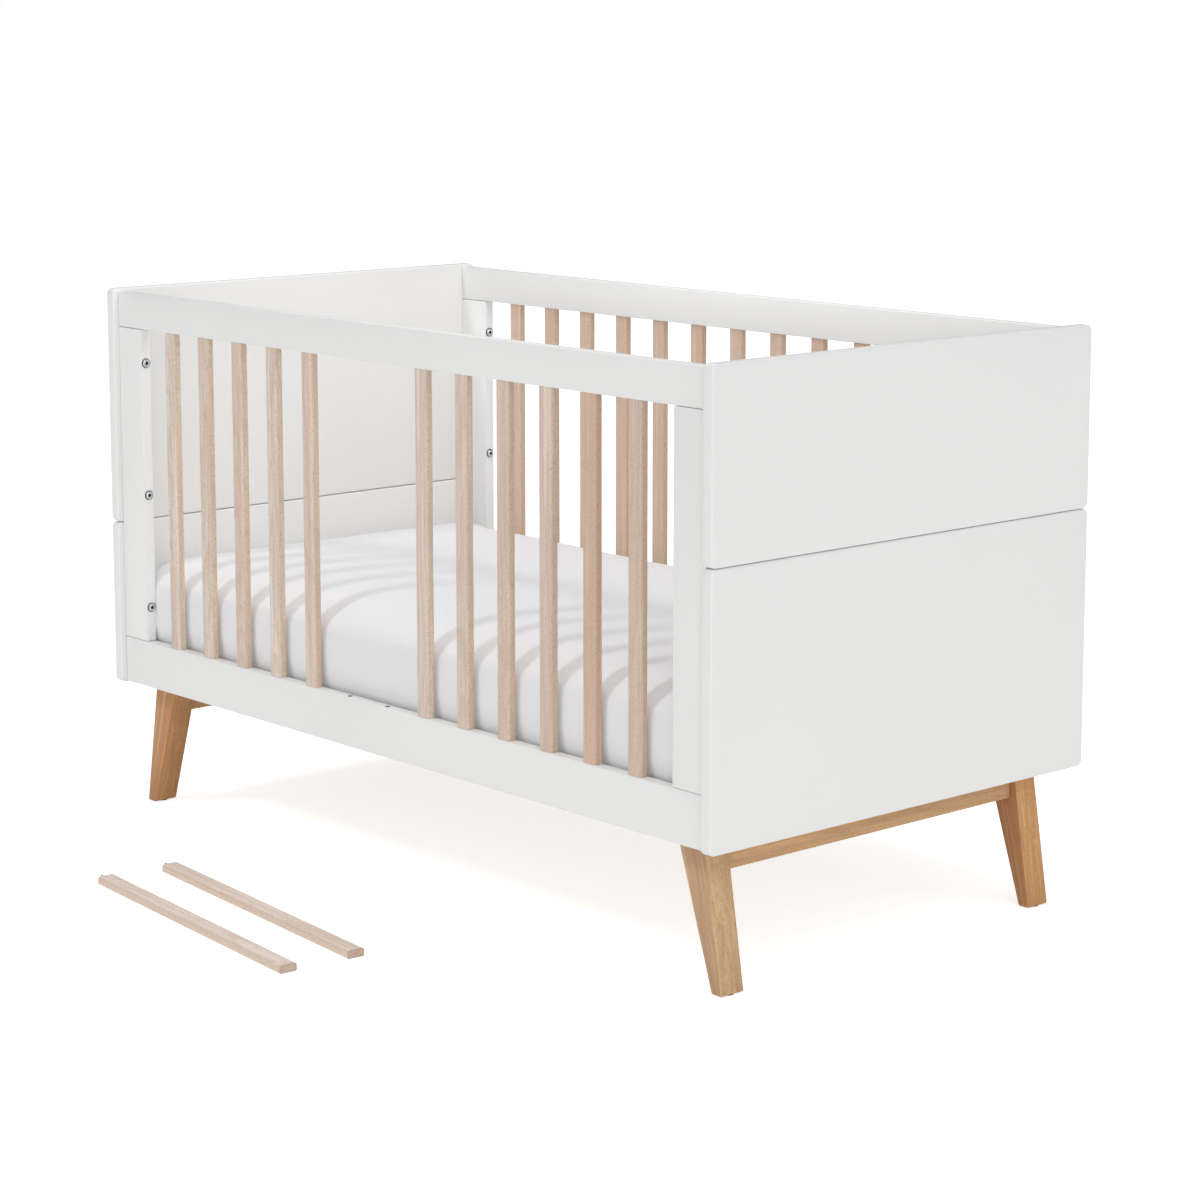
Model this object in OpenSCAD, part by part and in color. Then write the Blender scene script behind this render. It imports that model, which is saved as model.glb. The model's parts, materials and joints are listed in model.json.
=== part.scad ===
// Baby crib with slatted sides, two-piece end panels and a splayed wooden base.
// Millimetres, +Z up. The origin is the centre of the footprint on the floor.
// The head end is +X, the foot end is -X, the front is -Y and the rear is +Y.

/* [Sleeping space] */
// Length between the end panels
inner_length = 1405; // [1395:1:1415]
// Width between the side rails
inner_width = 705; // [700:1:710]
// Height of the mattress base's top above the floor
base_top = 270; // [268:1:276]
// Thickness of the mattress with its sheet
mattress_t = 140; // [100:1:150]

/* [End panels] */
// Thickness of an end panel
panel_t = 20; // [18:1:22]
// Height of the shorter piece of each end panel
short_piece_h = 270; // [250:1:290]
// Height of the taller piece of each end panel
tall_piece_h = 387; // [370:1:400]
// Gap between the two pieces of an end panel
piece_gap = 1; // [0.5:0.5:2]
// Radius of the panel pieces' corners
panel_corner_r = 9; // [4:1:12]

/* [Side frames] */
// Thickness of the rails and stiles
rail_t = 18; // [16:1:20]
// How far the rails stand back from the panels' edges
rail_inset = 9.5; // [6:0.5:12]
// Height of a top rail
top_rail_h = 58; // [54:1:62]
// Height of a bottom rail
bottom_rail_h = 77; // [72:1:80]
// Width of a stile
stile_w = 65; // [60:1:70]

/* [Slats] */
// Width of a slat
slat_w = 28; // [27:0.5:30]
// Thickness of a slat
slat_t = 13; // [12.5:0.5:14]
// Length of a fixed slat's end held in a rail
slat_tenon = 12; // [8:1:14]
// Depth of the socket that a removable slat's upper end slides into
socket_depth = 34; // [32:1:38]

/* [Legs] */
// Height of the end panels' lower edge above the floor
panel_clear = 209; // [200:1:215]
// Thickness of a leg across the crib
leg_t = 43; // [40:1:45]
// Width of a leg at its top
leg_top_w = 55; // [50:1:58]
// Width of a leg at its foot
leg_foot_w = 20; // [18:1:24]
// How far a leg's outer edge leans out from top to foot
leg_splay = 34; // [30:1:38]
// Height of the crossbar between two legs
crossbar_h = 49; // [40:1:55]

/* [Hidden] */
$fn = 64;
cut = 1;                        // how far a hole's cutter runs past a face
hair = 0.1;                     // clearance round a glued or fixed joint
running = 0.05;                 // radial clearance of a sliding pin

slat_count = 13;                // on each side, the removable ones included
open_slats = [6, 7];            // removable slats, taken out at the front
rear_slats = [for (i = [1:slat_count]) i];
front_slats = [for (i = rear_slats) if (len(search(i, open_slats)) == 0) i];
loose_names = ["a", "b"];
ends = [-1, 1];                 // foot, head
sides = [-1, 1];                // front, rear

panel_w = inner_width + 2 * (rail_t + rail_inset);
panel_h = short_piece_h + piece_gap + tall_piece_h;
panel_top = panel_clear + panel_h;
panel_inner_x = inner_length / 2;
panel_outer_x = panel_inner_x + panel_t;
foot_split = panel_clear + short_piece_h;
head_split = panel_clear + tall_piece_h;

top_rail_drop = 4.5;            // top rail below the panels' top
bottom_rail_rise = 1.5;         // bottom rail above the panels' lower edge
rail_y = inner_width / 2 + rail_t / 2;
top_rail_z = panel_top - top_rail_drop - top_rail_h;
bottom_rail_z = panel_clear + bottom_rail_rise;
bottom_rail_top = bottom_rail_z + bottom_rail_h;
clear_h = top_rail_z - bottom_rail_top;
stile_x = panel_inner_x - stile_w / 2;

slat_space = inner_length - 2 * stile_w;
slat_gap = (slat_space - slat_count * slat_w) / (slat_count + 1);
slat_pitch = slat_w + slat_gap;
slat_face_r = 4.5;              // edges of the outer face
slat_back_r = 2.5;              // edges of the inner face
slat_setback = 2;               // slat behind the rail's outer face
slat_y = rail_y + rail_t / 2 - slat_setback - slat_t / 2;

// Removable slats: the upper end slides into a deep socket, the lower end has a sprung pin
loose_slat_l = clear_h + socket_depth - 6;
loose_angle = -5.2;
loose_at = [[-323, -658], [-315, -547]];
pin_r = 3;
pin_out = 16;                   // pin beyond the slat's end
pin_travel = 15.5;
pin_head_r = 3.9;
pin_head_t = 3;
pin_hole_r = 4;                 // hole in the bottom rail
pin_hole_depth = 20;
sleeve_r = 4.9;
sleeve_lip = 3;
sleeve_l = 42;
sleeve_bore_r = pin_head_r + hair;
spring_wire_r = 0.35;
spring_coil_r = 3.2;
spring_turns = 9;
spring_sides = 6;
spring_steps = 10;              // rings in each turn
spring_slack = 2;               // room the pressed pin leaves round its spring
spring_pressed_l = sleeve_l - 2 * sleeve_lip - pin_head_t - pin_travel - spring_slack;

bolt_heights = [344, 531, 749]; // side bolts, above the floor
bolt_r = 3;
bolt_hole_r = 3.3;
bolt_flange_r = 7.75;
bolt_cap_r = 5.6;
bolt_socket_r = 3;
insert_r = 5;
insert_l = 15;

leg_inset = 34.5;               // leg behind the rail's outer face
leg_setback = 57;               // leg's top behind the panel's outer face
leg_y = rail_y + rail_t / 2 - leg_inset - leg_t / 2;
leg_top_x = panel_outer_x - leg_setback;
leg_top_z = panel_clear + 2;
glide_t = 1.5;
glide_r = 8;
board_w = 100;
board_t = 18;
leg_bolt_r = 4;
leg_bolt_l = 60;
leg_bolt_head_r = 8;
leg_bolt_head_t = 4;
leg_bolt_sunk = 1;              // bolt head below the board's top
leg_bolt_x = leg_top_x - leg_top_w / 2;
crossbar_t = 32;
crossbar_setback = 5.5;         // crossbar behind the leg's outer top edge
crossbar_x = leg_top_x - crossbar_setback - crossbar_t / 2;
crossbar_z = leg_top_z - crossbar_h;
crossbar_round = 3;

dowel_r = 4;
dowel_l = 30;
panel_dowel_ys = [-260, 0, 260];
crossbar_dowel_zs = [crossbar_z + 13, crossbar_z + crossbar_h - 13];

base_slack = 4;                 // base clear of the frame, each side
base_slat_t = 8;
base_bar_w = 18;
base_slat_w = 70;
base_slat_count = 12;
bracket_t = 2;
bracket_leg = 30;
bracket_w = 60;
bracket_y = 250;
bracket_above_board = 5;        // top of a bracket's shelf above the leg board
bracket_screw_z = 15;           // bracket's screws above its shelf
bracket_screw_y = 20;           // and from its middle
rest_gap = 0.2;                 // base above its brackets, mattress above its base
base_l = inner_length - 2 * base_slack;
base_w = inner_width - 2 * base_slack;
base_slat_z = base_top - base_slat_t;
bracket_top = leg_top_z + board_t + bracket_above_board;
base_bar_z = bracket_top + rest_gap;
screw_r = 2;
screw_l = 14;
screw_head_out = 0.6;
board_screw_r = 2.5;
board_screw_l = 40;
board_screw_in = 25;            // length of a board screw inside the board
board_screw_ys = [110, 320];

mattress_slack = 3;             // sheet clear of the frame, each side
sheet_t = 1.5;
sheet_corner_r = 36;
hem_w = 70;
hem_corner_r = 20;
sheet_l = inner_length - 2 * mattress_slack;
sheet_w = inner_width - 2 * mattress_slack;
mattress_z = base_top + rest_gap;

white_paint = [0.90, 0.90, 0.89];
pale_beech = [0.83, 0.75, 0.69];
oiled_beech = [0.79, 0.65, 0.47];
plain_birch = [0.85, 0.75, 0.60];
steel = [0.62, 0.63, 0.65];
cotton = [0.96, 0.96, 0.96];
foam = [0.93, 0.92, 0.86];
brown_plastic = [0.35, 0.30, 0.26];

function slat_x(i) = (i - (slat_count + 1) / 2) * slat_pitch;

// A rectangle round the origin; the two corners at low y and the two at high y have their own radii
module rounded_rectangle(size, low_r, high_r) {
    difference() {
        translate(-size / 2) square(size);
        for (sx = sides, sy = sides) {
            r = sy < 0 ? low_r : high_r;
            translate([sx * (size.x / 2 - r), sy * (size.y / 2 - r)])
                mirror([sx < 0 ? 1 : 0, 0])
                    mirror([0, sy < 0 ? 1 : 0])
                        difference() {
                            square(r + cut);
                            circle(r);
                        }
        }
    }
}

// ---- Fasteners: each set is drawn once as pieces, and again a hair larger to cut their holes ----

module side_bolt_set(r) {
    for (e = ends, s = sides, z = bolt_heights)
        translate([e * (panel_inner_x - stile_w - cut), s * rail_y, z])
            rotate([0, e * 90, 0])
                cylinder(r = r, h = stile_w + insert_l + 2 * cut);
}

module insert_set(r) {
    for (e = ends, s = sides, z = bolt_heights)
        translate([e * panel_inner_x, s * rail_y, z])
            rotate([0, e * 90, 0])
                cylinder(r = r, h = insert_l);
}

module panel_dowel_set(slack) {
    for (e = ends, y = panel_dowel_ys) {
        split = e < 0 ? foot_split : head_split;
        translate([e * (panel_inner_x + panel_t / 2), y, split + piece_gap / 2])
            cylinder(r = dowel_r + slack, h = dowel_l + slack, center = true);
    }
}

module crossbar_dowel_set(slack) {
    for (e = ends, s = sides, z = crossbar_dowel_zs)
        translate([e * crossbar_x, s * (leg_y - leg_t / 2), z])
            rotate([90, 0, 0])
                cylinder(r = dowel_r + slack, h = dowel_l + slack, center = true);
}

module leg_bolt_set(slack) {
    for (e = ends, s = sides)
        translate([e * leg_bolt_x, s * leg_y, leg_top_z + board_t]) {
            translate([0, 0, -leg_bolt_l])
                cylinder(r = leg_bolt_r + slack, h = leg_bolt_l);
            translate([0, 0, -leg_bolt_head_t - leg_bolt_sunk])
                cylinder(
                    r = leg_bolt_head_r + slack,
                    h = slack > 0 ? leg_bolt_head_t + leg_bolt_sunk + cut : leg_bolt_head_t
                );
        }
}

// ---- End panels ----

module panel_piece(end, z, h) {
    color(white_paint)
        difference() {
            translate([end * (panel_inner_x + panel_t / 2), 0, z + h / 2])
                rotate([0, 0, 90])
                    rotate([90, 0, 0])
                        linear_extrude(panel_t, center = true)
                            rounded_rectangle([panel_w, h], panel_corner_r, panel_corner_r);
            panel_dowel_set(hair);
            insert_set(insert_r);
        }
}

// ---- Side frames ----

// Cross-section of a slat, its outer face towards low y
module slat_section(slack) {
    rounded_rectangle(
        [slat_w + 2 * slack, slat_t + 2 * slack], slat_face_r + slack, slat_back_r + slack
    );
}

module upright_slat(side, i, z, h, slack) {
    translate([slat_x(i), side * slat_y, z])
        mirror([0, side > 0 ? 1 : 0, 0])
            linear_extrude(h)
                slat_section(slack);
}

module rail_bar(side, z, h) {
    translate([-panel_inner_x, side * rail_y - rail_t / 2, z])
        cube([inner_length, rail_t, h]);
}

// numbers are the fixed slats, sockets the removable ones
module top_rail(side, numbers, sockets) {
    color(white_paint)
        difference() {
            rail_bar(side, top_rail_z, top_rail_h);
            for (i = numbers)
                upright_slat(side, i, top_rail_z - cut, slat_tenon + hair + cut, hair);
            for (i = sockets)
                upright_slat(side, i, top_rail_z - cut, socket_depth + cut, 2 * hair);
        }
}

module bottom_rail(side, numbers, sockets) {
    color(white_paint)
        difference() {
            rail_bar(side, bottom_rail_z, bottom_rail_h);
            for (i = numbers)
                upright_slat(side, i, bottom_rail_top - slat_tenon - hair, slat_tenon + cut, hair);
            for (i = sockets)
                translate([slat_x(i), side * slat_y, bottom_rail_top - pin_hole_depth])
                    cylinder(r = pin_hole_r, h = pin_hole_depth + cut);
        }
}

module stile(end, side) {
    color(white_paint)
        difference() {
            translate([end * stile_x - stile_w / 2, side * rail_y - rail_t / 2, bottom_rail_top])
                cube([stile_w, rail_t, clear_h]);
            side_bolt_set(bolt_hole_r);
        }
}

module fixed_slat(side, i) {
    color(pale_beech)
        upright_slat(side, i, bottom_rail_top - slat_tenon, clear_h + 2 * slat_tenon, 0);
}

// Shaft along +Z from the underside of the flange, tapered cap with a hexagon socket
module side_bolt() {
    flange_t = 1.2;
    cap_t = 2;
    cap_taper = 0.8;
    socket_t = 2.2;
    cylinder(r = bolt_r, h = stile_w + insert_l - cut);
    difference() {
        union() {
            translate([0, 0, -flange_t]) cylinder(r = bolt_flange_r, h = flange_t);
            translate([0, 0, -flange_t - cap_t])
                cylinder(r1 = bolt_cap_r - cap_taper, r2 = bolt_cap_r, h = cap_t);
        }
        translate([0, 0, -flange_t - cap_t - cut])
            cylinder(r = bolt_socket_r, h = socket_t + cut, $fn = 6);
    }
}

module side_bolts() {
    color(steel)
        for (e = ends, s = sides, z = bolt_heights)
            translate([e * (panel_inner_x - stile_w), s * rail_y, z])
                rotate([0, e * 90, 0])
                    side_bolt();
}

module side_inserts() {
    color(steel)
        difference() {
            insert_set(insert_r);
            side_bolt_set(bolt_r);
        }
}

// ---- Legs ----

module leg(end, side) {
    top_out = leg_top_x;
    foot_out = leg_top_x + leg_splay;
    color(oiled_beech)
        difference() {
            mirror([end < 0 ? 1 : 0, 0, 0])
                translate([0, side * leg_y + leg_t / 2, 0])
                    rotate([90, 0, 0])
                        linear_extrude(leg_t)
                            polygon([
                                [foot_out - leg_foot_w, glide_t],
                                [foot_out, glide_t],
                                [top_out, leg_top_z],
                                [top_out - leg_top_w, leg_top_z],
                            ]);
            crossbar_dowel_set(hair);
            leg_bolt_set(hair);
        }
}

module leg_crossbar(end) {
    l = 2 * (leg_y - leg_t / 2);
    color(oiled_beech)
        difference() {
            translate([end * crossbar_x, 0, crossbar_z + crossbar_h / 2])
                rotate([90, 0, 0])
                    linear_extrude(l, center = true)
                        rounded_rectangle([crossbar_t, crossbar_h], crossbar_round, crossbar_round);
            crossbar_dowel_set(hair);
        }
}

module leg_boards() {
    color(plain_birch)
        difference() {
            for (e = ends)
                translate([
                    e * (panel_inner_x - board_w / 2) - board_w / 2, -inner_width / 2, leg_top_z
                ])
                    cube([board_w, inner_width, board_t]);
            leg_bolt_set(hair);
        }
}

module leg_bolts() {
    color(steel) leg_bolt_set(0);
}

module foot_glides() {
    foot_x = leg_top_x + leg_splay - leg_foot_w / 2;
    color(brown_plastic)
        for (e = ends, s = sides)
            translate([e * foot_x, s * leg_y, 0])
                cylinder(r = glide_r, h = glide_t);
}

module dowels() {
    color(plain_birch) {
        panel_dowel_set(0);
        crossbar_dowel_set(0);
    }
}

// ---- Mattress base ----

module base_brackets() {
    color(steel)
        for (e = ends, s = sides)
            translate([e * panel_inner_x, s * bracket_y, bracket_top])
                mirror([e > 0 ? 1 : 0, 0, 0])
                    translate([0, -bracket_w / 2, 0]) {
                        translate([0, 0, -bracket_t]) cube([bracket_leg, bracket_w, bracket_t]);
                        translate([0, 0, -bracket_t]) cube([bracket_t, bracket_w, bracket_leg]);
                    }
}

// Screws that hold the brackets to the panels, and the leg boards to the panels
module wood_screws() {
    color(steel)
        for (e = ends, s = sides) {
            for (dy = [-bracket_screw_y, bracket_screw_y])
                translate([
                    e * (panel_inner_x - bracket_t - screw_head_out),
                    s * bracket_y + dy,
                    bracket_top + bracket_screw_z
                ])
                    rotate([0, e * 90, 0])
                        cylinder(r = screw_r, h = screw_l);
            for (y = board_screw_ys)
                translate([e * (panel_inner_x - board_screw_in), s * y, leg_top_z + board_t / 2])
                    rotate([0, e * 90, 0])
                        cylinder(r = board_screw_r, h = board_screw_l);
        }
}

module base_frame() {
    bar_h = base_slat_z - base_bar_z;
    color(plain_birch) {
        for (s = sides)
            translate([-base_l / 2, s * (base_w - base_bar_w) / 2 - base_bar_w / 2, base_bar_z])
                cube([base_l, base_bar_w, bar_h]);
        for (e = ends)
            translate([
                e * (base_l - base_bar_w) / 2 - base_bar_w / 2, -base_w / 2 + base_bar_w + hair, base_bar_z
            ])
                cube([base_bar_w, base_w - 2 * base_bar_w - 2 * hair, bar_h]);
    }
}

module base_slats() {
    pitch = (base_l - base_slat_w) / (base_slat_count - 1);
    color(plain_birch)
        for (i = [0:base_slat_count - 1])
            translate([-base_l / 2 + i * pitch, -base_w / 2, base_slat_z])
                cube([base_slat_w, base_w, base_slat_t]);
}

// ---- Mattress ----

module mattress_block(inset, z, h) {
    r = max(sheet_corner_r - inset, hem_corner_r);
    translate([0, 0, z])
        linear_extrude(h)
            rounded_rectangle([sheet_l - 2 * inset, sheet_w - 2 * inset], r, r);
}

module mattress() {
    color(foam) mattress_block(sheet_t, mattress_z + sheet_t, mattress_t - 2 * sheet_t);
}

// Covers the top and sides and turns in under the mattress as a hem
module fitted_sheet() {
    color(cotton)
        difference() {
            mattress_block(0, mattress_z, mattress_t);
            mattress_block(sheet_t, mattress_z + sheet_t, mattress_t - 2 * sheet_t);
            mattress_block(hem_w, mattress_z - cut, sheet_t + 2 * cut);
        }
}

// ---- Removable slats, built along +X from the pinned end ----

module lay_down(i) {
    translate([loose_at[i].x, loose_at[i].y, slat_t / 2])
        rotate([0, 0, loose_angle])
            rotate([0, 90, 0])
                children();
}

module loose_slat(i) {
    color(pale_beech)
        lay_down(i)
            difference() {
                linear_extrude(loose_slat_l)
                    rotate([0, 0, -90])
                        slat_section(0);
                translate([0, 0, -cut]) cylinder(r = sleeve_r, h = sleeve_l + cut);
            }
}

// A round wire wound along +Z, swept ring by ring
module coil_spring() {
    rings = spring_turns * spring_steps;
    points = [
        for (k = [0:rings], a = [0:spring_sides - 1])
            let (
                turn = k / spring_steps,
                angle = 360 * turn,
                r = spring_coil_r + spring_wire_r * cos(360 * a / spring_sides)
            )
            [
                r * cos(angle),
                r * sin(angle),
                spring_pressed_l * turn / spring_turns + spring_wire_r * sin(360 * a / spring_sides),
            ]
    ];
    walls = [
        for (k = [0:rings - 1], a = [0:spring_sides - 1])
            let (b = (a + 1) % spring_sides, low = k * spring_sides, high = low + spring_sides)
            [low + a, low + b, high + b, high + a]
    ];
    first = [for (a = [spring_sides - 1:-1:0]) a];
    last = [for (a = [0:spring_sides - 1]) rings * spring_sides + a];
    polyhedron(points, concat([first], walls, [last]), convexity = 10);
}

// Sleeve with a lip that keeps the pin in, and its spring as short as the pressed pin leaves it
module pin_housing(i) {
    color(steel)
        lay_down(i) {
            difference() {
                cylinder(r = sleeve_r, h = sleeve_l);
                translate([0, 0, -cut]) cylinder(r = pin_r + running, h = sleeve_lip + 2 * cut);
                translate([0, 0, sleeve_lip])
                    cylinder(r = sleeve_bore_r, h = sleeve_l - 2 * sleeve_lip);
            }
            translate([0, 0, sleeve_l - sleeve_lip - spring_pressed_l - spring_wire_r - hair])
                coil_spring();
        }
}

module spring_pin(i) {
    tip = 1;
    tail_r = 2.2;                // inside the spring
    tail_l = 6;
    head_z = sleeve_lip + hair;
    color(steel)
        lay_down(i) {
            translate([0, 0, -pin_out])
                cylinder(r1 = pin_r - tip, r2 = pin_r, h = tip);
            translate([0, 0, tip - pin_out])
                cylinder(r = pin_r, h = pin_out - tip + head_z);
            translate([0, 0, head_z])
                cylinder(r = pin_head_r, h = pin_head_t);
            translate([0, 0, head_z + pin_head_t])
                cylinder(r = tail_r, h = tail_l);
        }
}

// ---- One line for each node ----

panel_piece(1, head_split + piece_gap, short_piece_h);  // head_panel_upper
panel_piece(1, panel_clear, tall_piece_h);  // head_panel_lower
panel_piece(-1, foot_split + piece_gap, tall_piece_h);  // foot_panel_upper
panel_piece(-1, panel_clear, short_piece_h);  // foot_panel_lower
top_rail(-1, front_slats, open_slats);  // front_top_rail
bottom_rail(-1, front_slats, open_slats);  // front_bottom_rail
top_rail(1, rear_slats, []);  // rear_top_rail
bottom_rail(1, rear_slats, []);  // rear_bottom_rail
stile(1, -1);  // front_stile_head
stile(-1, -1);  // front_stile_foot
stile(1, 1);  // rear_stile_head
stile(-1, 1);  // rear_stile_foot
for (i = front_slats)
    fixed_slat(-1, i);
for (i = rear_slats)
    fixed_slat(1, i);
side_bolts();
side_inserts();
dowels();
leg(1, -1);  // leg_head_front
leg(1, 1);  // leg_head_rear
leg(-1, -1);  // leg_foot_front
leg(-1, 1);  // leg_foot_rear
leg_crossbar(1);  // leg_crossbar_head
leg_crossbar(-1);  // leg_crossbar_foot
leg_boards();
leg_bolts();
foot_glides();
base_brackets();
wood_screws();
base_frame();
base_slats();
mattress();
fitted_sheet();
for (i = [0:len(loose_names) - 1]) {
    loose_slat(i);
    pin_housing(i);
    spring_pin(i);
}
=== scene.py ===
"""Looks of the baby crib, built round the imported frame. Metres, +Z up, the frame's own axes."""

import json
import math
import random

import bmesh
import bpy
from mathutils import Matrix, Vector, noise

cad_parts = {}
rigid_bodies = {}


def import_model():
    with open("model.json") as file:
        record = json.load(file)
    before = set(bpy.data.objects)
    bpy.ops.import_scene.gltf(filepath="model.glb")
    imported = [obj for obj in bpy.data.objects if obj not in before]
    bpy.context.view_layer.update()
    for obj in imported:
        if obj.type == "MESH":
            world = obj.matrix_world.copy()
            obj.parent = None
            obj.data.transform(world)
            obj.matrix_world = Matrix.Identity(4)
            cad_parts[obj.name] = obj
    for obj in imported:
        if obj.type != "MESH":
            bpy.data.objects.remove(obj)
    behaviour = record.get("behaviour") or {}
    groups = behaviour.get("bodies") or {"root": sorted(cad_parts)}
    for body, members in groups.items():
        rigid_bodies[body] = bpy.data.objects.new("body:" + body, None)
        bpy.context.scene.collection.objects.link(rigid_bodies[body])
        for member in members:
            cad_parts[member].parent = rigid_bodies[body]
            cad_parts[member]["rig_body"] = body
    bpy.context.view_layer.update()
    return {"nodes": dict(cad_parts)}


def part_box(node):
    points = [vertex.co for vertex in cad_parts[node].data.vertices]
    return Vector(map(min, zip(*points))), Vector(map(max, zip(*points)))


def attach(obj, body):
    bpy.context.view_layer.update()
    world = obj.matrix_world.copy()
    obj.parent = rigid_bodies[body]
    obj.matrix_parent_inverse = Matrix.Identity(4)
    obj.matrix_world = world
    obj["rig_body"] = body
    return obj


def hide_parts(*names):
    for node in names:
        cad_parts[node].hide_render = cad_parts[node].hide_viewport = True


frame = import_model()

FOOT, HEAD = -1, 1
FRONT, REAR = -1, 1
END_NAMES = {FOOT: "foot", HEAD: "head"}
SIDE_NAMES = {FRONT: "front", REAR: "rear"}
SLAT_COUNT = 13
OPEN_SLATS = (6, 7)

# Rounded corners and edges, and the seam between two painted bars
PANEL_CORNER_R = 0.009
PANEL_EDGE_R = 0.0028
RAIL_EDGE_R = 0.0016
LEG_EDGE_R = 0.0022
CROSSBAR_EDGE_R = 0.003
BOARD_EDGE_R = 0.0012
JOINT_GAP = 0.0004
ROUND_STEPS = 8
CREASE = math.radians(35)

# What the removed slats leave: sockets under the top rail, pin holes in the bottom rail
SLAT_SOCKET = (0.0284, 0.0134, 0.034)
SLAT_SOCKET_R = 0.0035
PIN_HOLE_R = 0.004
PIN_HOLE_DEPTH = 0.020

LOOSE_TURN = math.radians(-5.2)
LEG_LEAN = math.radians(13.7)

# How far a piece's wood goes to its warmer tint: the front slats from the foot end, their open
# places included, the rear slats between two limits, and one leg paler than the other three
FRONT_WARMTH = (0.0, 0.15, 0.25, 0.05, 0.30, 0.2, 0.2, 0.05, 0.20, 0.45, 0.35, 0.90, 0.60)
REAR_WARMTH = (0.65, 1.0)
LOOSE_WARMTH = 0.1
LEG_WARMTH = 0.75
PALE_LEG = (HEAD, FRONT)
CROSSBAR_WARMTH = 0.35

LATE_WOOD_LINES = 15
KNIT_STITCH = 0.0016
QUILT_PITCH = 0.085

# A side bolt's head, from under its flange to its socket's floor: radius, rise, hexagonal, dark. The
# dark rows are painted shade, round the flange's rim and in the socket
BOLT_HEAD = 0.0032
BOLT_SIDES = 48
BOLT_ROWS = (
    (0.0030, 0.0, False, False),
    (0.0076, 0.0, False, False),
    (0.00775, 0.0002, False, True),
    (0.0074, 0.0010, False, True),
    (0.0066, 0.0013, False, True),
    (0.0063, 0.0013, False, False),
    (0.0056, 0.0015, False, False),
    (0.0053, 0.0028, False, False),
    (0.0049, BOLT_HEAD, False, False),
    (0.0033, BOLT_HEAD, False, False),
    (0.0030, 0.0029, True, False),
    (0.0029, 0.0010, True, True),
)

# The mattress: its foam block before filling, the filling, and the shape it is given after it
PAD_SLACK = 0.004
PAD_CORNER_R = 0.040
PAD_CORNER_STEPS = 12
PAD_LEAST_R = 0.010
PAD_BOTTOM_R = 0.008
PAD_TOP_DROP = 0.034
PAD_TOP_INSET = 0.060
PAD_EDGE_STEPS = 6
PAD_VOXEL = 0.010
PAD_FRAMES = 20
PAD_CAP = 0.010
PAD_CROWN = 0.010
PAD_FRONT_LIFT = 0.0182
PAD_UNEVEN = 0.0018
PAD_BULGE = 0.0050
PAD_BULGE_RISE = 0.03

# The sheet. Its flat cloth is the mattress's top with a side and a hem all round it, and the
# square of the side and the hem is cut out of each corner
SHEET_T = 0.001
SHEET_CLEAR = 0.0004
SHEET_HEM = 0.070

FLOOR_REACH = 40
FLOOR_DROP = 0.0002
# The floor's own light, as it lights the crib and as the camera sees it. Away from the crib's
# middle it begins and is whole at these shares of the front rail's reach
FLOOR_GLOW = 0.34
FLOOR_SEEN_GLOW = 0.68
FLOOR_GLOW_FROM = 0.9
FLOOR_GLOW_WHOLE = 1.3
DOME_POWER = 0.26
KEY_POWER = 0.6
FILL_POWER = 1.65
FRONT_POWER = 0.1
SOFTBOX_POWER = 4.7
SOFTBOX_SPREAD = math.radians(130)
SOFTBOX_SIZE = (1.2, 0.6)
SOFTBOX_HEIGHT = 1.9

# The photograph's view, found by fitting the crib's edges
CAMERA_LENS = 92.43
CAMERA_SHIFT = -0.1
CAMERA_PLACE = (3.594, -3.106, 1.328)
CAMERA_TILT = math.radians(8.793)
CAMERA_TURN = math.radians(48.600)


# ---- Shader graphs ----


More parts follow.
